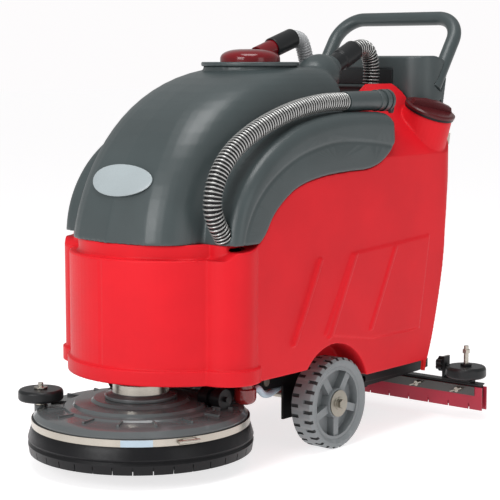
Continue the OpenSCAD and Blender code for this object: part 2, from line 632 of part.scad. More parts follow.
rim_r = 88;
spoke_n = 5;
hub_r = 34;
module tyre(side) translate([side * wheel_x, 0, axle_z]) rotate([0, 90, 0]) difference() {
  rotate_extrude($fn = 96) translate([0, 0]) polygon([[rim_r - 4, -wheel_w / 2 + 6], [rim_r + 4, -wheel_w / 2],
    [wheel_d / 2 - 6, -wheel_w / 2], [wheel_d / 2, -wheel_w / 2 + 6], [wheel_d / 2, wheel_w / 2 - 6],
    [wheel_d / 2 - 6, wheel_w / 2], [rim_r + 4, wheel_w / 2], [rim_r - 4, wheel_w / 2 - 6]]);
  for (i = [0 : tread_n - 1], row = [-1, 1])
    rotate([0, 0, 360 * (i + row * 0.25) / tread_n]) translate([wheel_d / 2, 0, row * (wheel_w / 4 + 4)])
      cube([10, 8, wheel_w / 2 - 6], center = true);
}
module hub(side) translate([side * wheel_x, 0, axle_z]) rotate([0, 90, 0]) difference() {
  union() {
    difference() {
      cylinder(r = rim_r - 4.2, h = wheel_w - 13, center = true, $fn = 96);
      cylinder(r = rim_r - 12, h = wheel_w, center = true, $fn = 96);
    }
    cylinder(r = hub_r, h = wheel_w - 8, center = true);
    for (i = [0 : spoke_n - 1]) rotate([0, 0, 360 * i / spoke_n]) {
      block([0, -9, -wheel_w / 2 + 10], [rim_r - 8, 9, wheel_w / 2 - 10]);
    }
    cylinder(r = rim_r - 8, h = 6, center = true);
  }
  cylinder(d = axle_d + 2 * run, h = wheel_w + 2, center = true);
}
module axle_washers() machine() color([0.75, 0.75, 0.76]) for (side = [-1, 1])
  translate([side * (wheel_x + wheel_w / 2 - 4 + gap), 0, axle_z]) rotate([0, side * 90, 0]) {
    cylinder(d = 62, h = 3);
    cylinder(d = 30, h = 4.5);
    translate([0, 0, 4]) cylinder(d = 22, h = 9, $fn = 6);
  }
tyre_grey = [0.42, 0.43, 0.44];
module left_tyre() machine() color(tyre_grey) tyre(1);
module right_tyre() machine() color(tyre_grey) tyre(-1);
module left_hub() machine() color(tyre_grey) hub(1);
module right_hub() machine() color(tyre_grey) hub(-1);
module main_axle() machine() color([0.65, 0.65, 0.66])
  rod_x(-wheel_x - wheel_w / 2 + 4 - gap, wheel_x + wheel_w / 2 - 4 + gap, 0, axle_z, axle_d);

// Chassis, caster and lift arms

rail_x = 164;
rail_t = 6;
arm_y = -150;
arm_z = 166;
frame_y = 190;
frame_z = 122;
caster_y = 322;
plate_z = 136;
lift_shaft_d = 20;
module rail() side_slab(rail_x - rail_t, rail_x) polygon([[-186, belly_z - 2], [-186, 156], [-172, 146], [-84, 146], [-84, 68], [60, 68],
                                                        [130, 92], [240, 92], [300, plate_z - 8], [392, plate_z - 8], [392, belly_z - 2]]);
module chassis_frame() machine() color([0.06, 0.06, 0.06]) difference() {
  union() {
    both_sides() rail();
    block([-rail_x, -186, belly_z - 6], [rail_x, 392, belly_z]);
    block([-rail_x, 262, plate_z - 8], [rail_x, 392, plate_z]);
    block([-rail_x, 386, plate_z - 8], [rail_x, 392, belly_z]);
    both_sides() rod_x(rail_x - 0.1, wheel_x - wheel_w / 2 + 4 - gap, 0, axle_z, 44);
    both_sides() rod_x(rail_x - 0.1, rail_x + 12, frame_y, frame_z, 18);
  }
  rod_x(-400, 400, 0, axle_z, axle_d + 0.1);
  rod_x(-rail_x - 40, rail_x + 40, arm_y, arm_z, lift_shaft_d + 2 * run);
  translate([0, caster_y, 100]) cylinder(d = 14, h = 60);
  // Slots that lighten the floor plate under the battery bay
  for (y = [-100, 20, 140]) block([-90, y, 150], [90, y + 60, 250]);
}
fork_top = plate_z - 8 - 16;
module caster_plate() machine() color([0.70, 0.71, 0.72]) translate([0, caster_y, plate_z - 8]) rotate([180, 0, 0]) difference() {
  union() {
    block([-45, -45, 0], [45, 45, 4]);
    cylinder(d = 56, h = 12);
  }
  translate([0, 0, -eps]) cylinder(d = 12 + 2 * run, h = 60);
}
caster_trail = 26;
caster_w = 32;
caster_pin_d = 10;
module caster_fork() machine() color([0.70, 0.71, 0.72]) translate([0, caster_y, 0]) difference() {
  union() {
    translate([0, 0, fork_top - 4]) cylinder(d = 60, h = 4 + 16 - 12 - gap);
    translate([0, 0, fork_top - 4]) cylinder(d = 12, h = 40);
    both_sides() side_slab(caster_w / 2 + 2, caster_w / 2 + 6)
      polygon([[-26, fork_top], [26, fork_top], [caster_trail + 14, caster_d / 2 + 4], [caster_trail + 8, caster_d / 2 - 12],
               [caster_trail - 8, caster_d / 2 - 12], [caster_trail - 16, caster_d / 2 + 6]]);
  }
  rod_x(-100, 100, caster_trail, caster_d / 2, caster_pin_d + 0.1);
}
module caster_axle() machine() color([0.65, 0.65, 0.66]) {
  rod_x(-caster_w / 2 - 9, caster_w / 2 + 9, caster_y + caster_trail, caster_d / 2, caster_pin_d);
}
module caster_wheel() machine() color([0.25, 0.25, 0.26]) translate([0, caster_y + caster_trail, caster_d / 2]) rotate([0, 90, 0])
  rotate_extrude($fn = 64) polygon([[caster_pin_d / 2 + run, -caster_w / 2], [18, -caster_w / 2], [20, -caster_w / 2 + 6],
    [34, -caster_w / 2 + 6], [36, -caster_w / 2], [caster_d / 2 - 4, -caster_w / 2], [caster_d / 2, -caster_w / 2 + 5],
    [caster_d / 2, caster_w / 2 - 5], [caster_d / 2 - 4, caster_w / 2], [36, caster_w / 2], [34, caster_w / 2 - 6],
    [20, caster_w / 2 - 6], [18, caster_w / 2], [caster_pin_d / 2 + run, caster_w / 2]]);

knuckle_y = -292;
knuckle_z = 150;
knuckle_d = 44;
arm_x = 144;
arm_t = 10;
module lift_shaft() machine() color([0.65, 0.65, 0.66]) rod_x(-rail_x - 6, rail_x + 6, arm_y, arm_z, lift_shaft_d);
module lift_arms() machine() color([0.06, 0.06, 0.06]) difference() {
  union() {
    both_sides() {
      side_slab(arm_x - arm_t, arm_x) polygon([[arm_y - 8, arm_z - 18], [arm_y + 16, arm_z - 12], [arm_y + 16, arm_z + 14],
        [arm_y - 8, arm_z + 18], [knuckle_y + 4, knuckle_z + 17], [knuckle_y - 14, knuckle_z + 8],
        [knuckle_y - 14, knuckle_z - 10], [knuckle_y + 4, knuckle_z - 17]]);
      rod_x(arm_x - 30, arm_x + 10, arm_y, arm_z, 34);
    }
    rod_x(-arm_x, arm_x, arm_y, arm_z, 30);
  }
  rod_x(-300, 300, arm_y, arm_z, lift_shaft_d + 0.1);
  rod_x(-300, 300, knuckle_y, knuckle_z, 12 + 2 * run);
}

// Brush deck

deck_top = 128;
band_z = 92;
band_h = 16;
band_r = 239;
module on_deck() { translate([0, deck_y, 0]) children(); }
module deck_cover() machine() color([0.27, 0.31, 0.32]) {
  difference() {
    on_deck() union() {
      rotate_extrude($fn = 96) polygon([[30, deck_top + 10], [100, deck_top + 10], [106, deck_top + 4], [142, deck_top + 2],
        [146, deck_top - 4], [164, deck_top - 6], [168, deck_top - 10], [210, deck_top - 12], [220, 108], [band_r - 11, 100],
        [band_r - 11, 60], [band_r - 3, 60], [band_r - 3, 112], [228, 122], [214, deck_top - 2], [172, deck_top],
        [168, deck_top + 4], [150, deck_top + 6], [146, deck_top + 12], [110, deck_top + 14], [104, deck_top + 20], [30, deck_top + 20]]);
      for (i = [0 : 15]) rotate([0, 0, 22.5 * i + 8]) block([160, -2.5, deck_top - 3], [206, 2.5, deck_top + 3.5]);
    }
    lift_room();
  }
  translate([guide_at[0], guide_at[1], 112]) cylinder(d = 30, h = guide_z - 112);
  knuckles();
}
module lift_room() both_sides() block([arm_x - arm_t - 1, knuckle_y - 22, knuckle_z - 30], [arm_x + 1, knuckle_y + 80, 220]);
module knuckles() both_sides() {
  rod_x(arm_x + gap, arm_x + 26, knuckle_y, knuckle_z, knuckle_d);
  rod_x(arm_x - arm_t - 26, arm_x - arm_t - gap, knuckle_y, knuckle_z, knuckle_d);
  rod_x(arm_x - arm_t - 26, arm_x + 34, knuckle_y, knuckle_z, 12);
  for (x = [arm_x + gap, arm_x - arm_t - 26]) block([x, knuckle_y - 16, 110], [x + 25.6, knuckle_y + 16, knuckle_z]);
}
flap_n = 36;
module deck_skirt() machine() color([0.04, 0.04, 0.04]) on_deck() difference() {
  rotate_extrude($fn = 96) polygon([[band_r - 2.8, 108], [band_r, 108], [band_r, band_z], [skirt_d / 2 - 6, band_z - 6], [skirt_d / 2 - 3, 76],
    [skirt_d / 2, 66], [skirt_d / 2 - 4, 60], [skirt_d / 2, 54], [skirt_d / 2 - 3, skirt_z], [skirt_d / 2 - 8, skirt_z],
    [skirt_d / 2 - 9, 58], [band_r - 2.8, 62]]);
  for (i = [0 : flap_n - 1]) rotate([0, 0, 360 * i / flap_n]) block([200, -1, 0], [300, 1, 50]);
}
module deck_band() machine() color([0.80, 0.80, 0.81]) on_deck() {
  difference() {
    translate([0, 0, band_z + 0.5]) cylinder(r = band_r + 1.8, h = band_h - 1, $fn = 96);
    translate([0, 0, 0]) cylinder(r = band_r + 0.3, h = 200, $fn = 96);
  }
  rotate([0, 0, -22]) translate([band_r + 1.4, 0, band_z + band_h / 2]) {
    block([0, -14, -6], [6, 14, 6]);
    translate([7, 24, 0]) rotate([90, 0, 0]) cylinder(d = 8, h = 48);
  }
}
module band_sleeve() machine() color([0.62, 0.70, 0.76]) on_deck() difference() {
  translate([0, 0, band_z + 0.8]) rotate([0, 0, -56]) rotate_extrude(angle = 16, $fn = 96)
    translate([band_r + 2.1, 0]) square([1.6, band_h - 1.6]);
}
module brush_motor() machine() color([0.70, 0.71, 0.72]) on_deck() {
  translate([0, 0, deck_top + 20]) rotate_extrude($fn = 64) polygon([[0, 0], [motor_d / 2 + 18, 0], [motor_d / 2 + 18, 8],
    [motor_d / 2, 12], [motor_d / 2, 34], [motor_d / 2 - 6, 40], [0, 40]]);
  cylinder_shaft();
}
module cylinder_shaft() translate([0, 0, 70]) cylinder(d = 24, h = 84);
pad_driver_r = pad_d / 2 - 8;
pad_top = 58;
module pad_driver() machine() color([0.10, 0.10, 0.30]) on_deck() difference() {
  union() {
    translate([0, 0, pad_top]) cylinder(r = pad_driver_r, h = 14, $fn = 96);
    translate([0, 0, pad_top]) cylinder(r = 48, h = 32);
  }
  translate([0, 0, 40]) cylinder(d = 24 + 2 * run, h = 90);
}
module scrub_pad() machine() color([0.10, 0.10, 0.10]) on_deck() translate([0, 0, skirt_z]) difference() {
  cylinder(d = pad_d, h = pad_top - skirt_z, $fn = 96);
  translate([0, 0, -eps]) cylinder(d = 80, h = 40);
}
guide_at = [-176, deck_y - 136];
guide_z = 128;
guide_h = 29;
module guide_stalk() machine() color([0.55, 0.56, 0.57]) translate([guide_at[0], guide_at[1], guide_z]) {
  cylinder(d = 26, h = 6);
  cylinder(d = 12, h = 6 + guide_h + 14);
  translate([0, 0, 6 + guide_h + 2 * gap]) cylinder(d = 30, h = 4);
}
module guide_roller() machine() color([0.05, 0.05, 0.05]) translate([guide_at[0], guide_at[1], guide_z + 6 + gap]) rotate_extrude($fn = 64)
  polygon([[6 + run, 0], [30, 0], [32, 4], [guide_d / 2 - 3, 4], [guide_d / 2, 8], [guide_d / 2, 24], [guide_d / 2 - 4, guide_h], [6 + run, guide_h]]);

// Squeegee

bar_z = 92;
frame_x = 190;
port_d = 45.6;
module squeegee_frame() machine() color([0.06, 0.06, 0.06]) difference() {
  union() {
    both_sides() {
      side_slab(frame_x - 8, frame_x) polygon([[frame_y - 18, 108], [frame_y + 20, 104], [squeegee_y - 30, 108], [squeegee_y + 14, 112],
        [squeegee_y + 14, 134], [squeegee_y - 30, 142], [frame_y, 142], [frame_y - 18, 134]]);
      rod_x(rail_x + 12 + gap, frame_x, frame_y, frame_z, 30);
    }
    block([-frame_x, squeegee_y - 14, 112], [frame_x, squeegee_y + 14, 118]);
    translate([0, squeegee_y, bar_z + 14 + gap]) cylinder(d = 66, h = 118 - bar_z - 14 - gap);
  }
  rod_x(-400, 400, frame_y, frame_z, 18 + 2 * run);
  translate([0, squeegee_y, 0]) cylinder(d = port_d + 2 * run, h = 200);
}
module squeegee_bar() machine() color([0.10, 0.10, 0.11]) {
  difference() {
    union() {
      block([-squeegee_l / 2 + 8, squeegee_y - 14, bar_z - 4], [squeegee_l / 2 - 8, squeegee_y + 14, bar_z]);
      both_sides() block([0, squeegee_y - 8, 58], [squeegee_l / 2 - 8, squeegee_y + 8, bar_z]);
      translate([0, squeegee_y, bar_z - 4]) cylinder(d = port_d, h = port_top - bar_z + 4);
      translate([0, squeegee_y, bar_z - 1]) cylinder(d = 60, h = 15);
      translate([0, squeegee_y, 118 + gap]) cylinder(d = 54, h = 5);
    }
    translate([0, squeegee_y, 40]) cylinder(d = 34, h = 120);
  }
}
module squeegee_blades() machine() color([0.48, 0.05, 0.08]) for (s = [-1, 1]) difference() {
  block([-squeegee_l / 2, squeegee_y + s * 10.5 - 2, blade_z], [squeegee_l / 2, squeegee_y + s * 10.5 + 2, 84]);
  if (s < 0) for (x = [-330 : 60 : 330]) block([x - 2, squeegee_y - 20, 0], [x + 2, squeegee_y, blade_z + 14]);
}
module blade_clamps() machine() color([0.60, 0.61, 0.62]) for (s = [-1, 1])
  block([-squeegee_l / 2 + 20, squeegee_y + s * 13.6 - 1, 62], [squeegee_l / 2 - 20, squeegee_y + s * 13.6 + 1, 84]);
module wing_nuts() machine() color([0.80, 0.80, 0.81]) for (x = [-300, -180, -60, 60, 180, 300]) translate([x, squeegee_y - 14.6, 73])
  rotate([90, 0, 0]) {
    cylinder(d = 13, h = 9);
    for (a = [0, 180]) rotate([0, 0, a + 20]) translate([11, 0, 7]) cube([14, 3, 10], center = true);
  }
roller_x = 313;
roller_z = 104;
plate_x = roller_x - 62;
plate_t = 6;
roller_h = 34;
knob_z = 128;
module roller_brackets() machine() color([0.06, 0.06, 0.06]) both_sides() difference() {
  union() {
    block([plate_x, squeegee_y - 13, bar_z], [roller_x + 20, squeegee_y + 13, bar_z + 5]);
    block([plate_x, squeegee_y - 13, bar_z], [plate_x + plate_t, squeegee_y + 13, 150]);
    translate([roller_x, squeegee_y, bar_z + 4]) cylinder(d = 12, h = 86);
    translate([roller_x, squeegee_y, bar_z + 5 + roller_h + 2 * gap]) cylinder(d = 28, h = 6);
    translate([roller_x, squeegee_y, 164]) cylinder(d = 20, h = 9, $fn = 6);
  }
  rod_x(plate_x - eps, plate_x + plate_t + eps, squeegee_y, knob_z, 8 + 2 * run);
}
module guide_wheel(x) translate([x, squeegee_y, bar_z + 5 + gap]) rotate_extrude($fn = 64)
  polygon([[6 + run, 0], [24, 0], [26, 6], [roller_d / 2 - 4, 6], [roller_d / 2, 10], [roller_d / 2, 28], [roller_d / 2 - 4, roller_h],
           [6 + run, roller_h]]);
module left_roller() machine() color([0.06, 0.06, 0.06]) guide_wheel(roller_x);
module right_roller() machine() color([0.06, 0.06, 0.06]) guide_wheel(-roller_x);
module tilt_knob() machine() color([0.04, 0.04, 0.04]) translate([plate_x - gap, squeegee_y, knob_z]) rotate([0, -90, 0]) {
  for (a = [0 : 60 : 300]) rotate([0, 0, a]) translate([13, 0, 0]) cylinder(d = 12, h = 16);
  cylinder(d = 28, h = 18);
  translate([0, 0, -plate_t - 2]) cylinder(d = 8, h = plate_t + 3);
}

// Clean water valve

valve_at = [206, 396, 168];
valve_seat_y = 346;
module solution_valve() machine() color([0.70, 0.62, 0.35]) translate(valve_at) {
  translate([0, valve_seat_y - valve_at[1], 0]) rotate([-90, 0, 0]) {
    cylinder(d = 32, h = 6);
    cylinder(d = 24, h = 72);
  }
  rotate([0, 90, 0]) cylinder(d = 10, h = 30);
}
module valve_lever() machine() color([0.75, 0.08, 0.08]) translate(valve_at) difference() {
  union() {
    rod_x(18, 26, 0, 0, 22);
    side_slab(19, 25) polygon([[-8, 0], [-14, -48], [-4, -50], [8, 0]]);
  }
  rod_x(10, 40, 0, 0, 10 + 2 * run);
}

// Sight tube at the back and the filter under the nose

sight_low = [215, 394, 197];
sight_high = [215, 494, 690];
sight_dir = unit(sight_high - sight_low);
sight_l = norm(sight_high - sight_low);
sight_d = 13;
sight_stub_d = 12;
sight_reach = 36;
module sight_tube() machine() color([0.85, 0.88, 0.90, 0.5]) {
  along(sight_low, sight_dir) difference() {
    cylinder(d = sight_d, h = sight_l);
    translate([0, 0, 8]) cylinder(d = sight_d - 4, h = sight_l - 16);
  }
  for (p = [sight_low, sight_high]) {
    translate(p) rotate([90, 0, 0]) cylinder(d = sight_stub_d, h = sight_reach);
    along(p - 14 * sight_dir, sight_dir) cylinder(d = 22, h = 28);
  }
}
filter_at = [176, -232, belly_z];
module solution_filter() machine() color([0.40, 0.06, 0.08]) translate(filter_at) {
  translate([0, 0, -69]) rotate_extrude() polygon(concat([[0, 0]], [for (a = [0 : 15 : 90]) [10 + 15 * sin(a), 15 - 15 * cos(a)]],
                                                         [[25, 34], [18, 36], [18, 69], [0, 69]]));
  translate([0, 0, -42]) rotate([-90, 0, 0]) cylinder(d = 12, h = 30);
}
filter_out = filter_at + [0, 30 + touch, -42];
feed_end = [120, -10, belly_z - 6 - touch];
feed_route = spline([filter_out, filter_out + [0, 7, 0], filter_out + [0, 15, 0], [172, -164, 141], [160, -130, 134], [146, -95, 134], [130, -50, 138], [120, -18, 154],
                     feed_end - [0, 0, 16], feed_end], 4);
module solution_hose() machine() color([0.70, 0.74, 0.80]) hose(feed_route, 15, 10, 0);

// One line for each piece

chassis_frame();
main_axle();
axle_washers();
solution_tank();
recovery_tank();
badge_plate();
batteries();
vacuum_motor();
vacuum_hose();
inlet_elbow();
squeegee_hose();
drain_hose();
drain_cuff();
drain_plug();
lid_ring();
lid_dome();
lid_elbow();
lid_cuff();
fill_cap();
fill_gasket();
console_housing();
console_plate();
control_panel();
grip_loop();
brush_switch();
vacuum_switch();
breaker_button();
left_tyre();
left_hub();
right_tyre();
right_hub();
caster_plate();
caster_fork();
caster_axle();
caster_wheel();
lift_arms();
lift_shaft();
deck_cover();
deck_skirt();
deck_band();
band_sleeve();
brush_motor();
pad_driver();
scrub_pad();
guide_stalk();
guide_roller();
squeegee_frame();
squeegee_bar();
squeegee_blades();
blade_clamps();
wing_nuts();
roller_brackets();
left_roller();
right_roller();
tilt_knob();
solution_valve();
valve_lever();
sight_tube();
solution_filter();
solution_hose();
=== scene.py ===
"""Walk-behind floor scrubber: camera, light, hoses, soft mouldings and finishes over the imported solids."""

import json
import math

import bpy
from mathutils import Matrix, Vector, kdtree


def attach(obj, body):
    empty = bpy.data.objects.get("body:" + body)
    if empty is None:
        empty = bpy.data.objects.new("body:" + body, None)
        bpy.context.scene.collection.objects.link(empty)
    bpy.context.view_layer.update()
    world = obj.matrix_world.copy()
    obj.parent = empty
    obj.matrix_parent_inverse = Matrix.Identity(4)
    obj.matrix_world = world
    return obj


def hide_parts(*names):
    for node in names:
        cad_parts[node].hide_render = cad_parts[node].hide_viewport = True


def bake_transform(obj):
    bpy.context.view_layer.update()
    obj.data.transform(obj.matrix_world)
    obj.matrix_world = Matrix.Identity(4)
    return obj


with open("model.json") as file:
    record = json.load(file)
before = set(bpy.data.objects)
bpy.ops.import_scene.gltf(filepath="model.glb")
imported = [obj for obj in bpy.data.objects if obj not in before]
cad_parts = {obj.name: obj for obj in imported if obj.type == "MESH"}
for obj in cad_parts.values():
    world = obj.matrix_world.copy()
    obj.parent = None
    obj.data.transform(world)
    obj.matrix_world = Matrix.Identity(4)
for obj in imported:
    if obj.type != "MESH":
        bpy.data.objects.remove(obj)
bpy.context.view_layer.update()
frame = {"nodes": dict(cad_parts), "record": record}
nodes = frame["nodes"]
body_of_node = {n: b for b, members in frame["record"]["behaviour"]["bodies"].items() for n in members}
slot_of_node = {part["node"]: part["material_slot"] for part in frame["record"]["subparts"]}

# Camera: where the photograph was taken from
CAMERA_AT = Vector((2.392, -2.829, 0.888))
CAMERA_LOOK = Vector((-0.6414, 0.7577, -0.1205))
LENS_MM = 113.6
SENSOR_MM = 36.0

# Hoses: the same routes as the solids, in metres, measured from the wheels' axle
AXLE_Y = 0.00425
ELBOW_FROM = Vector((0, 0.041, 0.903))
ELBOW_WAY = Vector((0, 107, 33)).normalized()
INLET_FROM = Vector((0.075, 0.165, 0.850))
INLET_WAY = Vector((0, 86, 38)).normalized()
DRAIN_WAY = Vector((0, -24, 34)).normalized()
DRAIN_X = 0.224
DRAIN_FROM = Vector((DRAIN_X, -0.356, 0.511))
VACUUM_ROUTE = [
    *(ELBOW_FROM + ELBOW_WAY * s for s in (0.0823, 0.0983, 0.1163)),
    (0, 0.182, 0.930), (0, 0.200, 0.896), (-0.002, 0.212, 0.858), (-0.012, 0.238, 0.810),
    (-0.028, 0.286, 0.766), (-0.042, 0.340, 0.740), (-0.048, 0.362, 0.7003), (-0.048, 0.362, 0.6813),
    (-0.048, 0.362, 0.6623),
]
SQUEEGEE_ROUTE = [
    *(INLET_FROM + INLET_WAY * s for s in (0.1006, 0.1216, 0.1446)),
    (0.075, 0.330, 0.914), (0.075, 0.354, 0.904), (0.075, 0.368, 0.874), (0.074, 0.370, 0.830),
    (0.072, 0.366, 0.760), (0.072, 0.364, 0.600), (0.072, 0.366, 0.420), (0.066, 0.386, 0.300),
    (0.034, 0.430, 0.220), (0, 0.452, 0.170), (0, 0.452, 0.149), (0, 0.452, 0.1283),
]
DRAIN_ROUTE = [
    *(DRAIN_FROM + DRAIN_WAY * s for s in (0, 0.020, 0.042)),
    *((DRAIN_X, y, z) for y, z in (
        (-0.392, 0.576), (-0.389, 0.612), (-0.370, 0.652), (-0.332, 0.692), (-0.272, 0.727),
        (-0.195, 0.756), (-0.113, 0.777), (-0.034, 0.788), (0.016, 0.7906), (0.0597, 0.7906))),
]
SOLUTION_ROUTE = [
    (0.176, -0.2017, 0.158), (0.176, -0.1947, 0.158), (0.176, -0.1867, 0.158), (0.172, -0.164, 0.141),
    (0.160, -0.130, 0.134), (0.146, -0.095, 0.134), (0.130, -0.050, 0.138), (0.120, -0.018, 0.154),
    (0.120, -0.010, 0.178), (0.120, -0.010, 0.1937),
]
# The fine crease round each lobe, on the side of the dirty water tank
CREASE = [(0.207, 0.684), (0.114, 0.696), (-0.011, 0.702), (-0.113, 0.687), (-0.188, 0.662), (-0.255, 0.623),
          (-0.299, 0.580), (-0.326, 0.533), (-0.337, 0.489)]
LOBE_X = 0.266
NOSE_Y = -0.502
WHEEL_Z = 0.105
HOSE_SIDES = 32
MERGE = 2e-5


# Small helpers

def pick(piece):
    """Select one piece alone and make it active."""
    bpy.ops.object.select_all(action="DESELECT")
    piece.select_set(True)
    bpy.context.view_layer.objects.active = piece


def edit_all(piece):
    pick(piece)
    bpy.ops.object.mode_set(mode="EDIT")
    bpy.ops.mesh.select_all(action="SELECT")


def leave_edit():
    bpy.ops.object.mode_set(mode="OBJECT")


def apply(piece, kind, **values):
    """Add a modifier, set it up and apply it."""
    pick(piece)
    modifier = piece.modifiers.new(kind.lower(), kind)
    for key, value in values.items():
        setattr(modifier, key, value)
    bpy.ops.object.modifier_apply(modifier=modifier.name)


def coat_with(piece, *finishes):
    piece.data.materials.clear()
    for finish in finishes:
        piece.data.materials.append(finish)


def stand_for(piece, *names):
    """The piece rides with the nodes that it stands for, which are hidden."""
    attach(piece, body_of_node[names[0]])
    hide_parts(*names)


# Camera, floor and light

FLOOR_SIZE = 60
PAPER_GREY = (0.55, 0.545, 0.55, 1)
PAPER_GLOW = (1, 0.99, 0.995, 1)
PAPER_GLOW_STRENGTH = 0.73
ROOM_STRENGTH = 0.44
ROOM_SEEN = (0.985, 0.97, 0.975, 1)


def add_camera():
    data = bpy.data.cameras.new("camera")
    data.lens = LENS_MM
    data.sensor_width = SENSOR_MM
    camera = bpy.data.objects.new("camera", data)
    camera.location = CAMERA_AT
    camera.rotation_euler = CAMERA_LOOK.to_track_quat("-Z", "Y").to_euler()
    bpy.context.scene.collection.objects.link(camera)
    bpy.context.scene.camera = camera


def add_floor():
    bpy.ops.object.select_all(action="DESELECT")
    bpy.ops.mesh.primitive_plane_add(size=FLOOR_SIZE, location=(0, 0, 0))
    floor = bpy.context.object
    floor.name = "studio_floor"
    paper = bpy.data.materials.new("studio_paper")
    paper.use_nodes = True
    shader = paper.node_tree.nodes["Principled BSDF"]
    shader.inputs["Base Color"].default_value = PAPER_GREY
    shader.inputs["Roughness"].default_value = 0.9
    shader.inputs["Specular IOR Level"].default_value = 0.1
    shader.inputs["Emission Color"].default_value = PAPER_GLOW
    shader.inputs["Emission Strength"].default_value = PAPER_GLOW_STRENGTH
    coat_with(floor, paper)


def add_softbox(name, at, look_at, size, watts):
    data = bpy.data.lights.new(name, "AREA")
    data.shape = "RECTANGLE"
    data.size, data.size_y = size
    data.energy = watts
    light = bpy.data.objects.new(name, data)
    light.location = at
    light.rotation_euler = (Vector(look_at) - Vector(at)).to_track_quat("-Z", "Y").to_euler()
    bpy.context.scene.collection.objects.link(light)


def add_light():
    """White paper all round, dimmer as a light than as it is seen, and three soft boxes."""
    world = bpy.data.worlds.new("studio")
    bpy.context.scene.world = world
    world.use_nodes = True
    tree = world.node_tree
    lit = tree.nodes["Background"]
    lit.inputs["Color"].default_value = (1, 1, 1, 1)
    lit.inputs["Strength"].default_value = ROOM_STRENGTH
    seen = tree.nodes.new("ShaderNodeBackground")
    seen.inputs["Color"].default_value = ROOM_SEEN
    either = tree.nodes.new("ShaderNodeMixShader")
    tree.links.new(tree.nodes.new("ShaderNodeLightPath").outputs["Is Camera Ray"], either.inputs["Fac"])
    tree.links.new(lit.outputs["Background"], either.inputs[1])
    tree.links.new(seen.outputs["Background"], either.inputs[2])
    tree.links.new(either.outputs["Shader"], tree.nodes["World Output"].inputs["Surface"])
    add_softbox("front_box", at=(0.2, -4.6, 2.3), look_at=(0, -0.2, 0.5), size=(2.2, 2.2), watts=98)
    add_softbox("top_box", at=(0.4, -0.7, 4.0), look_at=(0.05, -0.2, 0.6), size=(2.0, 2.0), watts=78)
    add_softbox("side_box", at=(4.2, -0.6, 1.4), look_at=(0, 0, 0.4), size=(1.6, 2.0), watts=14)
    bpy.context.scene.view_settings.view_transform = "Standard"


# Finishes

NOISE_LOW = 0.3
NOISE_HIGH = 0.7
RUB_START = 0.53
RUB_END = 0.62
GLOSS_SPREAD = 0.07
GRAIN_HEIGHT = 0.001
COAT_ROUGH = 0.12


def shade(colour, by):
    return tuple(min(1, c * by) for c in colour) + (1,)


def noise(tree, place, scale, detail):
    made = tree.nodes.new("ShaderNodeTexNoise")
    made.inputs["Scale"].default_value = scale
    made.inputs["Detail"].default_value = detail
    tree.links.new(place, made.inputs["Vector"])
    return made.outputs["Fac"]


def ramp(tree, value, low, high, start=0.35, end=0.65):
    made = tree.nodes.new("ShaderNodeValToRGB")
    made.color_ramp.elements[0].position = start
    made.color_ramp.elements[0].color = low
    made.color_ramp.elements[1].position = end
    made.color_ramp.elements[1].color = high
    tree.links.new(value, made.inputs["Fac"])
    return made.outputs["Color"]


def spread(tree, value, low, high):
    made = tree.nodes.new("ShaderNodeMapRange")
    made.inputs["From Min"].default_value = NOISE_LOW
    made.inputs["From Max"].default_value = NOISE_HIGH
    made.inputs["To Min"].default_value = low
    made.inputs["To Max"].default_value = high
    tree.links.new(value, made.inputs["Value"])
    return made.outputs["Result"]


def mix(tree, amount, first, second):
    made = tree.nodes.new("ShaderNodeMix")
    made.data_type = "RGBA"
    tree.links.new(amount, made.inputs["Factor"])
    tree.links.new(first, made.inputs[6])
    tree.links.new(second, made.inputs[7])
    return made.outputs[2]


def finish(name, colour, rough, grain, relief, mottle=0.08, patch=7, metal=0.0, coat=0.0, clear=0.0,
           worn=None, sheen=0.5):
    """Patchy colour, fine grain in relief and gloss and, where worn is given, paler edges."""
    material = bpy.data.materials.new(name)
    material.use_nodes = True
    tree = material.node_tree
    shader = tree.nodes["Principled BSDF"]
    place = tree.nodes.new("ShaderNodeTexCoord").outputs["Object"]
    fine = noise(tree, place, grain, 4)
    tone = ramp(tree, noise(tree, place, patch, 5), shade(colour, 1 - mottle), shade(colour, 1 + mottle))
    if worn:
        edge = tree.nodes.new("ShaderNodeNewGeometry").outputs["Pointiness"]
        rub = ramp(tree, edge, (0, 0, 0, 1), (1, 1, 1, 1), RUB_START, RUB_END)
        bare = ramp(tree, fine, shade(worn, 0.9), shade(worn, 1.1))
        tone = mix(tree, rub, tone, bare)
    tree.links.new(tone, shader.inputs["Base Color"])
    gloss = spread(tree, fine, rough - GLOSS_SPREAD, rough + GLOSS_SPREAD)
    tree.links.new(gloss, shader.inputs["Roughness"])
    bump = tree.nodes.new("ShaderNodeBump")
    bump.inputs["Strength"].default_value = relief
    bump.inputs["Distance"].default_value = GRAIN_HEIGHT
    tree.links.new(fine, bump.inputs["Height"])
    tree.links.new(bump.outputs["Normal"], shader.inputs["Normal"])
    shader.inputs["Metallic"].default_value = metal
    shader.inputs["Specular IOR Level"].default_value = sheen
    shader.inputs["Coat Weight"].default_value = coat
    shader.inputs["Coat Roughness"].default_value = COAT_ROUGH
    shader.inputs["Transmission Weight"].default_value = clear
    return material


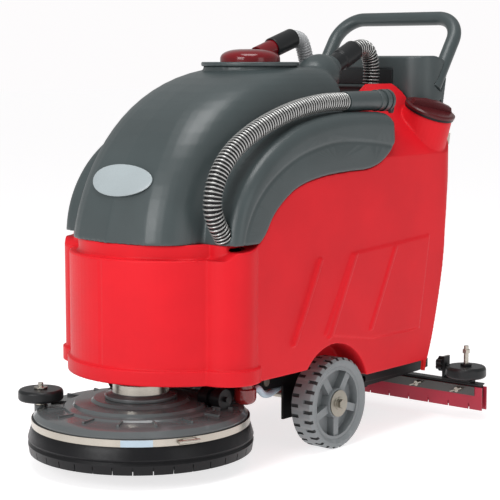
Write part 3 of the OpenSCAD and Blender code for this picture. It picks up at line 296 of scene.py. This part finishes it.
LOOKS = {
    "red_shell": dict(colour=(0.66, 0.010, 0.018), rough=0.44, grain=420, relief=0.14, mottle=0.05,
                      worn=(0.72, 0.025, 0.035), sheen=0.16),
    "grey_shell": dict(colour=(0.046, 0.060, 0.062), rough=0.37, grain=420, relief=0.2, mottle=0.08,
                       worn=(0.075, 0.095, 0.1)),
    "grey_gloss": dict(colour=(0.094, 0.103, 0.106), rough=0.17, grain=500, relief=0.05, mottle=0.06,
                       worn=(0.125, 0.135, 0.14)),
    "silver_plate": dict(colour=(0.34, 0.385, 0.40), rough=0.30, grain=900, relief=0.04, mottle=0.05,
                         sheen=0.4),
    "black_plastic": dict(colour=(0.011, 0.012, 0.013), rough=0.36, grain=800, relief=0.15, mottle=0.15,
                          worn=(0.026, 0.027, 0.029), sheen=0.3),
    "black_rubber": dict(colour=(0.007, 0.007, 0.008), rough=0.34, grain=700, relief=0.2, mottle=0.2,
                         worn=(0.02, 0.02, 0.022), sheen=0.22),
    # drain_rib: pale silver on the rib crests of the dark drain and squeegee hoses is painted highlight
    "drain_rib": dict(colour=(0.40, 0.40, 0.39), rough=0.24, grain=900, relief=0.08, mottle=0.1,
                      metal=0.6),
    "clear_hose": dict(colour=(0.50, 0.51, 0.52), rough=0.26, grain=900, relief=0.1, mottle=0.06,
                       clear=0.25),
    "maroon_clear": dict(colour=(0.17, 0.004, 0.008), rough=0.14, grain=500, relief=0.03, mottle=0.1,
                         coat=0.25, clear=0.1, sheen=0.3),
    "maroon_bowl": dict(colour=(0.22, 0.014, 0.014), rough=0.18, grain=500, relief=0.03, mottle=0.1,
                        coat=0.4, clear=0.1),
    "maroon_plastic": dict(colour=(0.075, 0.006, 0.008), rough=0.30, grain=700, relief=0.08, mottle=0.1,
                           coat=0.08, sheen=0.3),
    "red_switch": dict(colour=(0.70, 0.02, 0.02), rough=0.30, grain=900, relief=0.06, mottle=0.06),
    "yellow_button": dict(colour=(0.75, 0.42, 0.02), rough=0.32, grain=900, relief=0.06, mottle=0.06),
    "wheel_grey": dict(colour=(0.205, 0.222, 0.229), rough=0.50, grain=600, relief=0.2, mottle=0.07,
                       worn=(0.25, 0.266, 0.272)),
    "bright_steel": dict(colour=(0.47, 0.44, 0.385), rough=0.30, grain=1100, relief=0.08, mottle=0.1,
                         metal=1.0),
    "zinc_steel": dict(colour=(0.27, 0.255, 0.215), rough=0.34, grain=1100, relief=0.1, mottle=0.14,
                       metal=1.0),
    "dull_steel": dict(colour=(0.095, 0.095, 0.092), rough=0.38, grain=900, relief=0.1, mottle=0.12,
                       metal=0.5),
    # Near-black on the walls and floors of the grey tyres' tread slots: painted shade in the recesses
    "tread_slot_shade": dict(colour=(0.045, 0.048, 0.050), rough=0.70, grain=600, relief=0.2, mottle=0.1),
    "caster_rubber": dict(colour=(0.05, 0.05, 0.052), rough=0.6, grain=700, relief=0.2, mottle=0.15),
    "black_steel": dict(colour=(0.007, 0.007, 0.008), rough=0.36, grain=700, relief=0.14, mottle=0.15,
                        worn=(0.03, 0.03, 0.03), sheen=0.2),
    "blade_rubber": dict(colour=(0.40, 0.020, 0.045), rough=0.42, grain=600, relief=0.12, mottle=0.12),
    "pale_sleeve": dict(colour=(0.42, 0.52, 0.60), rough=0.42, grain=700, relief=0.08, mottle=0.06),
    "drive_plastic": dict(colour=(0.02, 0.03, 0.10), rough=0.45, grain=700, relief=0.15, mottle=0.1),
    "pad_fibre": dict(colour=(0.015, 0.015, 0.015), rough=0.85, grain=260, relief=1.0, mottle=0.4),
    "valve_brass": dict(colour=(0.60, 0.42, 0.16), rough=0.34, grain=800, relief=0.15, mottle=0.1,
                        metal=1.0),
    "clear_tube": dict(colour=(0.72, 0.70, 0.60), rough=0.16, grain=500, relief=0.03, mottle=0.06,
                       clear=0.35),
}
FINISHES = {name: finish(name, **look) for name, look in LOOKS.items()}


# Hoses

ROUTE_STEPS = 8
CREST_START = 0.29
CREST_END = 0.71
CREST_ROUND = 0.985


def spline(points, steps):
    """A smooth line through the points, as the solids' routes are drawn."""
    p = [Vector(q) for q in points]
    last = len(p) - 1
    line = []
    for i in range(last):
        a, b, c, d = p[max(i - 1, 0)], p[i], p[i + 1], p[min(i + 2, last)]
        for k in range(steps):
            t = k / steps
            line.append(0.5 * (2 * b + (c - a) * t + (2 * a - 5 * b + 4 * c - d) * t**2
                               + (3 * b - a - 3 * c + d) * t**3))
    return [q + Vector((0, AXLE_Y, 0)) for q in line + [p[last]]]


def length_of(line):
    return sum((b - a).length for a, b in zip(line, line[1:]))


def guide_curve(line):
    data = bpy.data.curves.new("hose_guide", "CURVE")
    data.dimensions = "3D"
    run = data.splines.new("POLY")
    run.points.add(len(line) - 1)
    for point, q in zip(run.points, line):
        point.co = (*q, 1)
    guide = bpy.data.objects.new("hose_guide", data)
    bpy.context.scene.collection.objects.link(guide)
    return guide


def one_rib(name, pitch, profile):
    """One pitch of a ribbed hose along X: profile lists how far along the pitch and how wide it is."""
    bpy.ops.object.select_all(action="DESELECT")
    upright = (0, math.pi / 2, 0)
    bpy.ops.mesh.primitive_circle_add(vertices=HOSE_SIDES, radius=profile[0][1], rotation=upright)
    rib = bpy.context.object
    rib.name = name
    pick(rib)
    bpy.ops.object.transform_apply(location=True, rotation=True, scale=True)
    edit_all(rib)
    for (s0, r0), (s1, r1) in zip(profile, profile[1:]):
        bpy.ops.mesh.extrude_region_move(TRANSFORM_OT_translate={"value": ((s1 - s0) * pitch, 0, 0)})
        wider = r1 / r0
        bpy.ops.transform.resize(value=(1, wider, wider), center_override=(s1 * pitch, 0, 0))
    leave_edit()
    return rib


def ribbed_hose(name, route, outer, inner, ribs, crest, valley):
    """A hose with rounded ribs along its route; the ribs' crests and the valleys have a finish each."""
    line = spline(route, ROUTE_STEPS)
    pitch = length_of(line) / ribs
    half = (outer + inner) / 2
    near = outer * CREST_ROUND
    profile = [(0, inner), (0.24, inner), (CREST_START, half), (0.37, near), (0.5, outer), (0.63, near),
               (CREST_END, half), (0.76, inner), (1, inner)]
    hose = one_rib(name, pitch, profile)
    coat_with(hose, valley, crest)
    # Crest faces take the second finish; on the dark drain and squeegee hoses that pale crest is painted
    # highlight
    for face in hose.data.polygons:
        face.material_index = 1 if CREST_START < face.center.x / pitch < CREST_END else 0
    guide = guide_curve(line)
    apply(hose, "ARRAY", count=ribs, use_relative_offset=False, use_constant_offset=True,
          constant_offset_displace=(pitch, 0, 0), use_merge_vertices=True, merge_threshold=MERGE)
    apply(hose, "CURVE", object=guide, deform_axis="POS_X")
    bpy.data.objects.remove(guide)
    edit_all(hose)
    bpy.ops.mesh.fill_holes(sides=0)
    bpy.ops.mesh.normals_make_consistent(inside=False)
    leave_edit()
    pick(hose)
    bpy.ops.object.shade_smooth()
    return hose, line


def add_hoses():
    """Each hose along its route: ribs on it, their size, their finishes, and how it lies."""
    made = {
        # drain_rib on the crests of the dark drain and squeegee hoses is painted highlight
        "drain_hose": (DRAIN_ROUTE, 0.021, 0.0176, 76, "drain_rib", "black_rubber", "taut"),
        "squeegee_hose": (SQUEEGEE_ROUTE, 0.021, 0.0178, 112, "drain_rib", "black_rubber", "hanging"),
        "vacuum_hose": (VACUUM_ROUTE, 0.019, 0.0176, 60, "clear_hose", "clear_hose", "hanging"),
        "solution_hose": (SOLUTION_ROUTE, 0.0075, 0.0073, 60, "pale_sleeve", "pale_sleeve", "hanging"),
    }
    hoses = {}
    for node, (route, outer, inner, ribs, crest, valley, lay) in made.items():
        name = node + "_ribbed"
        hose, line = ribbed_hose(name, route, outer, inner, ribs, FINISHES[crest], FINISHES[valley])
        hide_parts(node)
        hoses[node] = hose, line
    for node in ("drain_hose", "solution_hose"):
        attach(hoses[node][0], "body")
    hose, line = hoses["squeegee_hose"]
    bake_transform(hose)
    hose, line = hoses["vacuum_hose"]
    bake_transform(hose)


# Mouldings

GROOVE_REACH = 0.006
GROOVE_FALL = 0.7
CREASE_STEPS = 40
PARTING_FOOT = 0.200
PARTING_STEP = 0.002
PARTING_STEPS = 131


def cad_copy(node, name):
    """A merged copy of a node's solid, ready to be shaped."""
    piece = bpy.data.objects.new(name, nodes[node].data.copy())
    bpy.context.scene.collection.objects.link(piece)
    pick(piece)
    bpy.ops.mesh.customdata_custom_splitnormals_clear()
    edit_all(piece)
    bpy.ops.mesh.remove_doubles(threshold=MERGE)
    leave_edit()
    return piece


def outer_skin(piece):
    """Drop the closed shells inside a hollow moulding."""
    edit_all(piece)
    bpy.ops.mesh.separate(type="LOOSE")
    leave_edit()
    shells = sorted(bpy.context.selected_objects, key=lambda o: o.dimensions.length)
    for shell in shells[:-1]:
        bpy.data.objects.remove(shell)
    return shells[-1]


def groove(piece, line, reach, depth):
    """Press a shallow groove into a skin along a line."""
    group = piece.vertex_groups.new(name="groove")
    spots = kdtree.KDTree(len(line))
    for i, q in enumerate(line):
        spots.insert(q, i)
    spots.balance()
    for v in piece.data.vertices:
        away = spots.find(v.co)[2]
        if away < reach:
            group.add([v.index], (1 - away / reach) ** GROOVE_FALL, "REPLACE")
    apply(piece, "DISPLACE", strength=-depth, mid_level=0, vertex_group=group.name)
    piece.vertex_groups.clear()


def crease_lines():
    line = spline([(0, y, z) for y, z in CREASE], CREASE_STEPS)
    return [Vector((side * LOBE_X, q.y, q.z)) for side in (-1, 1) for q in line]


def parting_line():
    """Where the mould closed, up the middle of the nose."""
    return [Vector((0, NOSE_Y + AXLE_Y, PARTING_FOOT + PARTING_STEP * k)) for k in range(PARTING_STEPS)]


def moulded(node, voxel, rounds, faces, lines, depth):
    """A rotational moulding: the solid's outer skin with soft edges."""
    name = node + "_skin"
    piece = outer_skin(cad_copy(node, name))
    piece.name = name
    apply(piece, "REMESH", mode="VOXEL", voxel_size=voxel)
    apply(piece, "SMOOTH", factor=0.5, iterations=rounds)
    if lines:
        groove(piece, lines, GROOVE_REACH, depth)
    count = sum(len(p.vertices) - 2 for p in piece.data.polygons)
    if count > faces:
        apply(piece, "DECIMATE", ratio=faces / count)
    pick(piece)
    bpy.ops.object.shade_smooth()
    coat_with(piece, FINISHES[slot_of_node[node]])
    stand_for(piece, node)
    return piece


# Everything else: the solids with their edges eased

FLAT_ANGLE = math.radians(1)
EDGE_ANGLE = math.radians(32)
SMOOTH_ANGLE = math.radians(40)


def eased(node, width, gloss=None):
    """A copy of a node with its edges rounded over, so that they catch the light."""
    piece = cad_copy(node, node + "_eased")
    edit_all(piece)
    bpy.ops.mesh.dissolve_limited(angle_limit=FLAT_ANGLE)
    leave_edit()
    apply(piece, "BEVEL", width=width, segments=3, limit_method="ANGLE", angle_limit=EDGE_ANGLE)
    pick(piece)
    bpy.ops.object.shade_smooth_by_angle(angle=SMOOTH_ANGLE)
    apply(piece, "WEIGHTED_NORMAL", keep_sharp=True)
    coat_with(piece, FINISHES[gloss or slot_of_node[node]])
    stand_for(piece, node)
    return piece


EASED = {
    "deck_cover": 0.003, "deck_skirt": 0.0015, "deck_band": 0.0004, "band_sleeve": 0.0005,
    "brush_motor": 0.0015, "guide_roller": 0.002, "guide_stalk": 0.0008, "left_tyre": 0.0015,
    "right_tyre": 0.0015, "left_hub": 0.0025, "right_hub": 0.0025, "axle_washers": 0.0008,
    "lid_ring": 0.003, "lid_dome": 0.0015, "lid_elbow": 0.001, "lid_cuff": 0.0025, "fill_cap": 0.002,
    "fill_gasket": 0.0012, "drain_cuff": 0.0015, "drain_plug": 0.0015, "inlet_elbow": 0.002,
    "console_plate": 0.0008, "control_panel": 0.0006, "brush_switch": 0.001, "vacuum_switch": 0.001,
    "breaker_button": 0.001, "badge_plate": 0.0006, "grip_loop": 0.001, "squeegee_frame": 0.0015,
    "squeegee_bar": 0.0015, "squeegee_blades": 0.0006, "blade_clamps": 0.0004, "wing_nuts": 0.0007,
    "roller_brackets": 0.001, "left_roller": 0.002, "right_roller": 0.002, "tilt_knob": 0.0015,
    "solution_valve": 0.001, "valve_lever": 0.001, "sight_tube": 0.001, "solution_filter": 0.001,
    "chassis_frame": 0.0012, "vacuum_motor": 0.002, "caster_plate": 0.0008, "caster_fork": 0.0008,
    "caster_wheel": 0.0015, "lift_arms": 0.0012,
}
GLOSSY = {"deck_cover": "grey_gloss", "blade_clamps": "dull_steel", "axle_washers": "zinc_steel",
          "solution_filter": "maroon_bowl"}


# Pieces of one node that have a second finish

KNUCKLE_INNER = 0.104
KNUCKLE_OUTER = 0.182
KNUCKLE_Y = -0.288
KNUCKLE_REACH = 0.026
KNUCKLE_FOOT = 0.1305
FLANGE_TOP = 0.1663
BOLT_FOOT = 0.1463
SLOT_FLOOR = 0.0985
SLOT_TOP = 0.1018


def is_knuckle(face):
    """A pivot boss on the deck cover."""
    at = face.center
    across = KNUCKLE_INNER < abs(at.x) < KNUCKLE_OUTER
    along = abs(at.y - KNUCKLE_Y) < KNUCKLE_REACH
    return across and along and at.z > KNUCKLE_FOOT


def is_flange(face):
    """The brush motor's foot."""
    return face.center.z < FLANGE_TOP


def is_bolt_head(face):
    """The head of the bolt above a roller's bracket, and the bracket's top edge."""
    return face.center.z > BOLT_FOOT


def is_tread_slot(face):
    """The walls and floor of a slot in a tyre's tread, which are painted dark as painted shade."""
    out = Vector((0, face.center.y - AXLE_Y, face.center.z - WHEEL_Z))
    radius = out.length
    across = abs(face.normal.dot(Vector((1, 0, 0)).cross(out / radius)))
    is_wall = across > 0.6
    is_floor = radius < SLOT_TOP and abs(face.normal.x) < 0.1
    return radius > SLOT_FLOOR and (is_wall or is_floor)


TWO_TONE = {
    "deck_cover": (is_knuckle, "black_steel"), "brush_motor": (is_flange, "grey_gloss"),
    # The tyres' tread slots take a near-black finish as painted shade
    "roller_brackets": (is_bolt_head, "bright_steel"), "left_tyre": (is_tread_slot, "tread_slot_shade"),
    "right_tyre": (is_tread_slot, "tread_slot_shade"),
}


def coat_part(piece, belongs, second):
    piece.data.materials.append(FINISHES[second])
    for face in piece.data.polygons:
        face.material_index = 1 if belongs(face) else 0


def coat_nodes():
    for name, solid in nodes.items():
        coat_with(solid, FINISHES[slot_of_node[name]])


add_camera()
add_floor()
add_light()
add_hoses()
coat_nodes()
moulded("solution_tank", voxel=0.0024, rounds=2, faces=180000, lines=parting_line(), depth=0.0014)
moulded("recovery_tank", voxel=0.0030, rounds=4, faces=150000, lines=crease_lines(), depth=0.0022)
moulded("console_housing", voxel=0.0022, rounds=3, faces=60000, lines=(), depth=0)
for name, width in EASED.items():
    piece = eased(name, width, GLOSSY.get(name))
    if name in TWO_TONE:
        coat_part(piece, *TWO_TONE[name])
